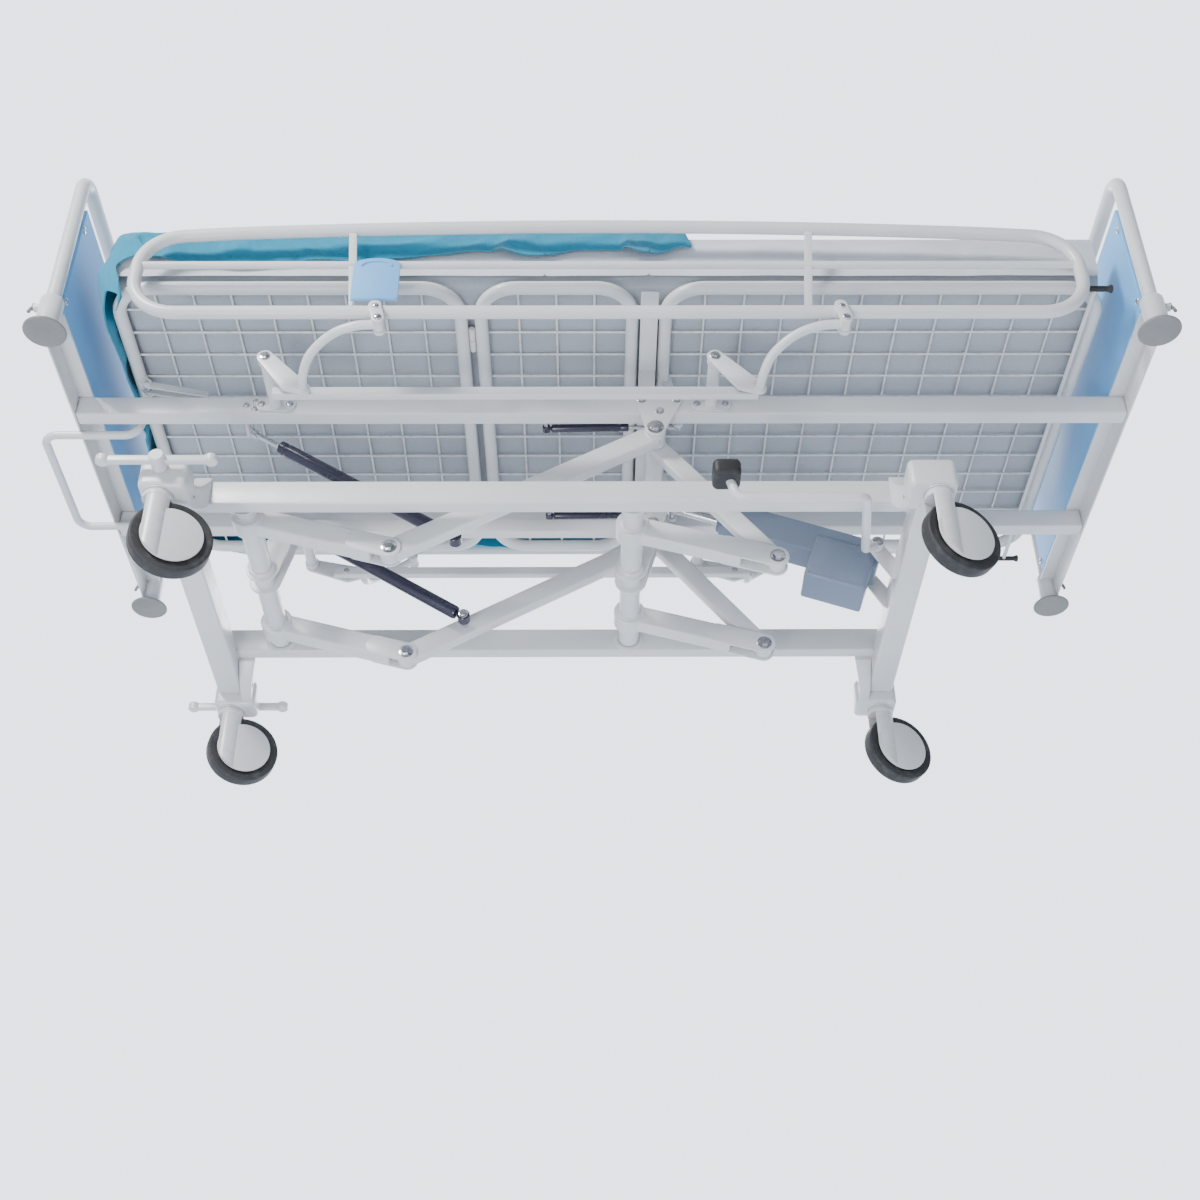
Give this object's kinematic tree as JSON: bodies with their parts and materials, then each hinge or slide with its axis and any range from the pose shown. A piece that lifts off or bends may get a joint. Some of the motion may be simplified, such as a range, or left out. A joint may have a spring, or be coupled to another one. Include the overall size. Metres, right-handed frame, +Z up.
{
  "type": "adjustable hospital bed",
  "caption": "Wheeled hospital bed with a foot-pump scissor lift, tilting frame, folding wire-grid surface, side rails, removable end boards, mattress and blanket.",
  "frame": {"origin": "on the floor under the middle of the whole bed's box", "axes": "+X towards the head end, +Y towards the far side, away from the foot pedal, +Z up"},
  "size_m": [2.3409, 1.028, 0.9979],
  "materials": {
    "white_paint": "satin",
    "chrome": "polished",
    "light_blue": "satin",
    "blue_grey": "satin",
    "dark_navy": "gloss",
    "black_rubber": "matte",
    "grey_plastic": "matte",
    "wheel_grey": "matte",
    "mattress_cloth": "woven",
    "blanket_cloth": "woven"
  },
  "bodies": {
    "chassis": {"base_frame": "white_paint", "corner_bracket_foot_near": "white_paint", "corner_bracket_foot_far": "white_paint", "corner_bracket_head_near": "white_paint", "corner_bracket_head_far": "white_paint"},
    "caster_foot_near": {"caster_fork_foot_near": "white_paint"},
    "wheel_foot_near": {"caster_wheel_foot_near": "wheel_grey"},
    "caster_foot_far": {"caster_fork_foot_far": "white_paint"},
    "wheel_foot_far": {"caster_wheel_foot_far": "wheel_grey"},
    "caster_head_near": {"caster_fork_head_near": "white_paint"},
    "wheel_head_near": {"caster_wheel_head_near": "wheel_grey"},
    "caster_head_far": {"caster_fork_head_far": "white_paint"},
    "wheel_head_far": {"caster_wheel_head_far": "wheel_grey"},
    "brake": {"brake_pedals": "white_paint"},
    "foot_pedal": {"foot_pedal_lever": "white_paint", "foot_pedal_pad": "black_rubber"},
    "lift_foot": {"lift_arms_foot": "white_paint"},
    "lift_head": {"lift_arms_head": "white_paint"},
    "push_rod": {"push_rod": "white_paint"},
    "upper_arms": {"upper_arms": "white_paint"},
    "pump": {"pump_body": "blue_grey"},
    "pump_rod": {"pump_rod": "chrome"},
    "bed": {"bed_frame": "white_paint", "end_cross_foot": "white_paint", "end_cross_head": "white_paint"},
    "tilt_spring_near": {"tilt_spring_cylinder_near": "dark_navy"},
    "tilt_spring_rod_near": {"tilt_spring_rod_near": "chrome"},
    "back_spring_near": {"back_spring_cylinder_near": "dark_navy"},
    "back_spring_rod_near": {"back_spring_rod_near": "chrome"},
    "tilt_spring_far": {"tilt_spring_cylinder_far": "dark_navy"},
    "tilt_spring_rod_far": {"tilt_spring_rod_far": "chrome"},
    "back_spring_far": {"back_spring_cylinder_far": "dark_navy"},
    "back_spring_rod_far": {"back_spring_rod_far": "chrome"},
    "backrest": {"back_frame": "white_paint", "mattress_back": "mattress_cloth"},
    "release": {"release_handles": "black_rubber"},
    "thigh": {"thigh_frame": "white_paint", "mattress_thigh": "mattress_cloth"},
    "calf": {"calf_frame": "white_paint", "mattress_calf": "mattress_cloth", "blanket": "blanket_cloth"},
    "calf_strut": {"calf_strut": "white_paint"},
    "board_foot": {"board_hoop_foot": "white_paint", "board_panel_foot": "light_blue"},
    "bumper_foot_near": {"bumper_disc_foot_near": "grey_plastic"},
    "bumper_foot_far": {"bumper_disc_foot_far": "grey_plastic"},
    "board_head": {"board_hoop_head": "white_paint", "board_panel_head": "light_blue"},
    "bumper_head_near": {"bumper_disc_head_near": "grey_plastic"},
    "bumper_head_far": {"bumper_disc_head_far": "grey_plastic"},
    "crank_foot_near": {"crank_foot_near": "white_paint"},
    "crank_head_near": {"crank_head_near": "white_paint"},
    "side_rail_near": {"side_rail_near": "white_paint"},
    "sync_bar_near": {"sync_bar_near": "white_paint"},
    "latch_near": {"latch_plate_near": "light_blue"},
    "crank_foot_far": {"crank_foot_far": "white_paint"},
    "crank_head_far": {"crank_head_far": "white_paint"},
    "side_rail_far": {"side_rail_far": "white_paint"},
    "sync_bar_far": {"sync_bar_far": "white_paint"},
    "latch_far": {"latch_plate_far": "light_blue"}
  },
  "joints": [
    {"name": "caster_foot_near_swivel", "type": "hinge", "parent": "chassis", "child": "caster_foot_near", "pos_m": [-0.81375, -0.389, 0.012], "axis": [0, 0, 1], "continuous": true},
    {"name": "wheel_foot_near_spin", "type": "hinge", "parent": "caster_foot_near", "child": "wheel_foot_near", "pos_m": [-0.78072, -0.37599, 0.078], "axis": [-0.3665, 0.9304, 0], "continuous": true},
    {"name": "caster_foot_far_swivel", "type": "hinge", "parent": "chassis", "child": "caster_foot_far", "pos_m": [-0.81375, 0.389, 0.012], "axis": [0, 0, 1], "continuous": true},
    {"name": "wheel_foot_far_spin", "type": "hinge", "parent": "caster_foot_far", "child": "wheel_foot_far", "pos_m": [-0.78072, 0.40201, 0.078], "axis": [-0.3665, 0.9304, 0], "continuous": true},
    {"name": "caster_head_near_swivel", "type": "hinge", "parent": "chassis", "child": "caster_head_near", "pos_m": [0.66025, -0.389, 0.012], "axis": [0, 0, 1], "continuous": true},
    {"name": "wheel_head_near_spin", "type": "hinge", "parent": "caster_head_near", "child": "wheel_head_near", "pos_m": [0.69328, -0.37599, 0.078], "axis": [-0.3665, 0.9304, 0], "continuous": true},
    {"name": "caster_head_far_swivel", "type": "hinge", "parent": "chassis", "child": "caster_head_far", "pos_m": [0.66025, 0.389, 0.012], "axis": [0, 0, 1], "continuous": true},
    {"name": "wheel_head_far_spin", "type": "hinge", "parent": "caster_head_far", "child": "wheel_head_far", "pos_m": [0.69328, 0.40201, 0.078], "axis": [-0.3665, 0.9304, 0], "continuous": true},
    {"name": "brake_rock", "type": "hinge", "parent": "chassis", "child": "brake", "pos_m": [-0.80975, 0, 0.217], "axis": [0, 1, 0], "range_deg": [-12, 12]},
    {"name": "pedal_press", "type": "hinge", "parent": "chassis", "child": "foot_pedal", "pos_m": [0.60325, 0, 0.302], "axis": [0, -1, 0], "range_deg": [0, 10], "stiffness_Nm_per_rad": 22, "springref_deg": -17.19},
    {"name": "lift", "type": "hinge", "parent": "chassis", "child": "lift_foot", "pos_m": [-0.68875, 0, 0.274], "axis": [0, -1, 0], "range_deg": [0, 65]},
    {"name": "lift_head_turn", "type": "hinge", "parent": "chassis", "child": "lift_head", "pos_m": [0.08725, 0, 0.274], "axis": [0, -1, 0], "range_deg": [0, 65.5]},
    {"name": "push_rod_turn", "type": "hinge", "parent": "lift_foot", "child": "push_rod", "pos_m": [-0.63875, 0, 0.397], "axis": [0, -1, 0], "range_deg": [-65.5, 0]},
    {"name": "upper_arms_turn", "type": "hinge", "parent": "lift_foot", "child": "upper_arms", "pos_m": [-0.39875, 0, 0.192], "axis": [0, -1, 0], "range_deg": [-65.5, 0]},
    {"name": "pump_swing", "type": "hinge", "parent": "chassis", "child": "pump", "pos_m": [0.60325, 0, 0.302], "axis": [0, -1, 0], "range_deg": [0, 8.2]},
    {"name": "pump_rod_slide", "type": "slide", "parent": "pump", "child": "pump_rod", "axis": [-0.9415, 0, 0.3371], "range_m": [0, 0.2045]},
    {"name": "tilt", "type": "hinge", "parent": "upper_arms", "child": "bed", "pos_m": [0.13825, 0, 0.497], "axis": [0, -1, 0], "range_deg": [-10, 8]},
    {"name": "tilt_spring_near_swing", "type": "hinge", "parent": "upper_arms", "child": "tilt_spring_near", "pos_m": [-0.27475, -0.14, 0.2624], "axis": [0, -1, 0], "range_deg": [-14, 11.2]},
    {"name": "tilt_spring_near_slide", "type": "slide", "parent": "tilt_spring_near", "child": "tilt_spring_rod_near", "axis": [-0.8403, 0, 0.5421], "range_m": [-0.0605, 0.075]},
    {"name": "tilt_spring_far_swing", "type": "hinge", "parent": "upper_arms", "child": "tilt_spring_far", "pos_m": [-0.27475, 0.14, 0.2624], "axis": [0, -1, 0], "range_deg": [-14, 11.2]},
    {"name": "tilt_spring_far_slide", "type": "slide", "parent": "tilt_spring_far", "child": "tilt_spring_rod_far", "axis": [-0.8403, 0, 0.5421], "range_m": [-0.0605, 0.075]},
    {"name": "backrest_raise", "type": "hinge", "parent": "bed", "child": "backrest", "pos_m": [0.15925, 0, 0.683], "axis": [0, -1, 0], "range_deg": [0, 65]},
    {"name": "back_spring_near_swing", "type": "hinge", "parent": "bed", "child": "back_spring_near", "pos_m": [-0.09175, -0.15, 0.552], "axis": [0, -1, 0], "range_deg": [0, 14.7]},
    {"name": "back_spring_near_slide", "type": "slide", "parent": "back_spring_near", "child": "back_spring_rod_near", "axis": [0.9998, 0, 0.0178], "range_m": [0, 0.112]},
    {"name": "back_spring_far_swing", "type": "hinge", "parent": "bed", "child": "back_spring_far", "pos_m": [-0.09175, 0.15, 0.552], "axis": [0, -1, 0], "range_deg": [0, 14.7]},
    {"name": "back_spring_far_slide", "type": "slide", "parent": "back_spring_far", "child": "back_spring_rod_far", "axis": [0.9998, 0, 0.0178], "range_m": [0, 0.112]},
    {"name": "release_pull", "type": "hinge", "parent": "backrest", "child": "release", "pos_m": [1.02825, 0, 0.657], "axis": [0, -1, 0], "range_deg": [0, 12], "stiffness_Nm_per_rad": 1.5, "springref_deg": -8.59},
    {"name": "knee_raise", "type": "hinge", "parent": "bed", "child": "thigh", "pos_m": [0.09025, 0, 0.683], "axis": [0, 1, 0], "range_deg": [0, 30]},
    {"name": "calf_fold", "type": "hinge", "parent": "thigh", "child": "calf", "pos_m": [-0.24675, 0, 0.683], "axis": [0, -1, 0], "range_deg": [0, 43.4]},
    {"name": "calf_strut_swing", "type": "hinge", "parent": "calf", "child": "calf_strut", "pos_m": [-0.95675, 0, 0.662], "axis": [0, 1, 0], "range_deg": [0, 40]},
    {"name": "board_foot_lift", "type": "slide", "parent": "bed", "child": "board_foot", "axis": [0, 0, 1], "range_m": [0, 0.07]},
    {"name": "bumper_foot_near_spin", "type": "hinge", "parent": "bed", "child": "bumper_foot_near", "pos_m": [-1.07175, -0.4715, 0.522], "axis": [0, 0, 1], "continuous": true},
    {"name": "bumper_foot_far_spin", "type": "hinge", "parent": "bed", "child": "bumper_foot_far", "pos_m": [-1.07175, 0.4715, 0.522], "axis": [0, 0, 1], "continuous": true},
    {"name": "board_head_lift", "type": "slide", "parent": "bed", "child": "board_head", "axis": [0, 0, 1], "range_m": [0, 0.07]},
    {"name": "bumper_head_near_spin", "type": "hinge", "parent": "bed", "child": "bumper_head_near", "pos_m": [1.12825, -0.4715, 0.522], "axis": [0, 0, 1], "continuous": true},
    {"name": "bumper_head_far_spin", "type": "hinge", "parent": "bed", "child": "bumper_head_far", "pos_m": [1.12825, 0.4715, 0.522], "axis": [0, 0, 1], "continuous": true},
    {"name": "side_rail_near_raise", "type": "hinge", "parent": "bed", "child": "crank_foot_near", "pos_m": [-0.66175, -0.3565, 0.564], "axis": [0, -1, 0], "range_deg": [0, 40]},
    {"name": "crank_head_near_turn", "type": "hinge", "parent": "bed", "child": "crank_head_near", "pos_m": [0.25725, -0.3565, 0.564], "axis": [0, -1, 0], "range_deg": [0, 40.5]},
    {"name": "side_rail_near_level", "type": "hinge", "parent": "crank_foot_near", "child": "side_rail_near", "pos_m": [-0.41425, -0.485, 0.529], "axis": [0, -1, 0], "range_deg": [-40.5, 0]},
    {"name": "sync_bar_near_level", "type": "hinge", "parent": "crank_foot_near", "child": "sync_bar_near", "pos_m": [-0.61175, -0.335, 0.484], "axis": [0, -1, 0], "range_deg": [-40.5, 0]},
    {"name": "latch_near_lift", "type": "slide", "parent": "side_rail_near", "child": "latch_near", "axis": [0, 0, 1], "range_m": [0, 0.012], "stiffness_N_per_m": 120, "springref_m": -0.01},
    {"name": "side_rail_far_raise", "type": "hinge", "parent": "bed", "child": "crank_foot_far", "pos_m": [-0.66175, 0.3565, 0.564], "axis": [0, -1, 0], "range_deg": [-35, 5]},
    {"name": "crank_head_far_turn", "type": "hinge", "parent": "bed", "child": "crank_head_far", "pos_m": [0.25725, 0.3565, 0.564], "axis": [0, -1, 0], "range_deg": [-35.5, 5.5]},
    {"name": "side_rail_far_level", "type": "hinge", "parent": "crank_foot_far", "child": "side_rail_far", "pos_m": [-0.43894, 0.485, 0.67729], "axis": [0, -1, 0], "range_deg": [-5.5, 35.5]},
    {"name": "sync_bar_far_level", "type": "hinge", "parent": "crank_foot_far", "child": "sync_bar_far", "pos_m": [-0.57491, 0.335, 0.52715], "axis": [0, -1, 0], "range_deg": [-5.5, 35.5]},
    {"name": "latch_far_lift", "type": "slide", "parent": "side_rail_far", "child": "latch_far", "axis": [0, 0, 1], "range_m": [0, 0.012], "stiffness_N_per_m": 120, "springref_m": -0.01}
  ],
  "couplings": [
    {"joint": "lift_head_turn", "follows": "lift", "ratio": 1},
    {"joint": "push_rod_turn", "follows": "lift", "ratio": -1},
    {"joint": "upper_arms_turn", "follows": "lift", "ratio": -1},
    {"joint": "pump_swing", "follows": "lift", "ratio": 0.124},
    {"joint": "pump_rod_slide", "follows": "lift", "m_per_rad": 0.179},
    {"joint": "tilt_spring_near_swing", "follows": "tilt", "ratio": 1.38},
    {"joint": "tilt_spring_near_slide", "follows": "tilt", "m_per_rad": -0.424},
    {"joint": "tilt_spring_far_swing", "follows": "tilt", "ratio": 1.38},
    {"joint": "tilt_spring_far_slide", "follows": "tilt", "m_per_rad": -0.424},
    {"joint": "back_spring_near_swing", "follows": "backrest_raise", "ratio": 0.223},
    {"joint": "back_spring_near_slide", "follows": "backrest_raise", "m_per_rad": 0.098},
    {"joint": "back_spring_far_swing", "follows": "backrest_raise", "ratio": 0.223},
    {"joint": "back_spring_far_slide", "follows": "backrest_raise", "m_per_rad": 0.098},
    {"joint": "calf_fold", "follows": "knee_raise", "ratio": 1.437},
    {"joint": "crank_head_near_turn", "follows": "side_rail_near_raise", "ratio": 1},
    {"joint": "side_rail_near_level", "follows": "side_rail_near_raise", "ratio": -1},
    {"joint": "sync_bar_near_level", "follows": "side_rail_near_raise", "ratio": -1},
    {"joint": "crank_head_far_turn", "follows": "side_rail_far_raise", "ratio": 1},
    {"joint": "side_rail_far_level", "follows": "side_rail_far_raise", "ratio": -1},
    {"joint": "sync_bar_far_level", "follows": "side_rail_far_raise", "ratio": -1}
  ]
}
